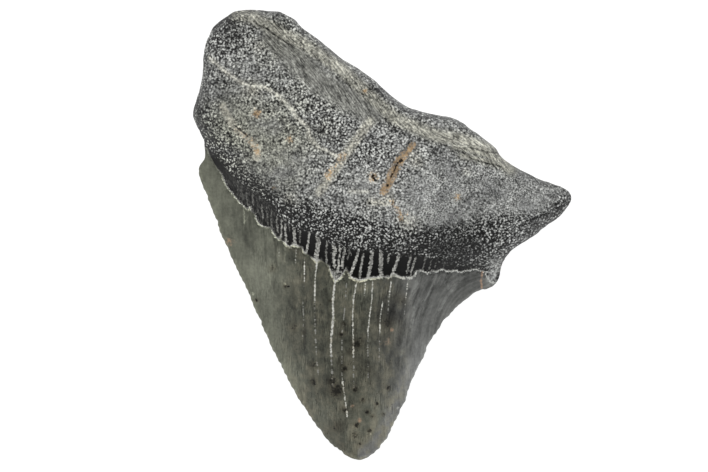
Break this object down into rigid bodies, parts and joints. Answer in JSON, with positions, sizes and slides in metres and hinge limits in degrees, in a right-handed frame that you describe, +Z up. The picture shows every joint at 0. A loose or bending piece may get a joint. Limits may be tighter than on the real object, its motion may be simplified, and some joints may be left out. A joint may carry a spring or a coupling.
{
  "type": "fossil megalodon tooth",
  "caption": "Large triangular fossil shark tooth with a serrated crown, a dark neck band and a thick two-lobed root, lying on its flatter face.",
  "frame": {"origin": "middle of the tooth's box, on the surface that it lies on", "axes": "+Y from the crown's tip to the root, +X to the right across the lingual face, +Z up out of the lingual face"},
  "size_m": [0.0886, 0.1058, 0.0243],
  "materials": {
    "fossil_tooth": "granular grey root, near-black smooth neck band and satin grey-green enamel"
  },
  "bodies": {
    "root": {"tooth": "fossil_tooth"}
  },
  "joints": []
}
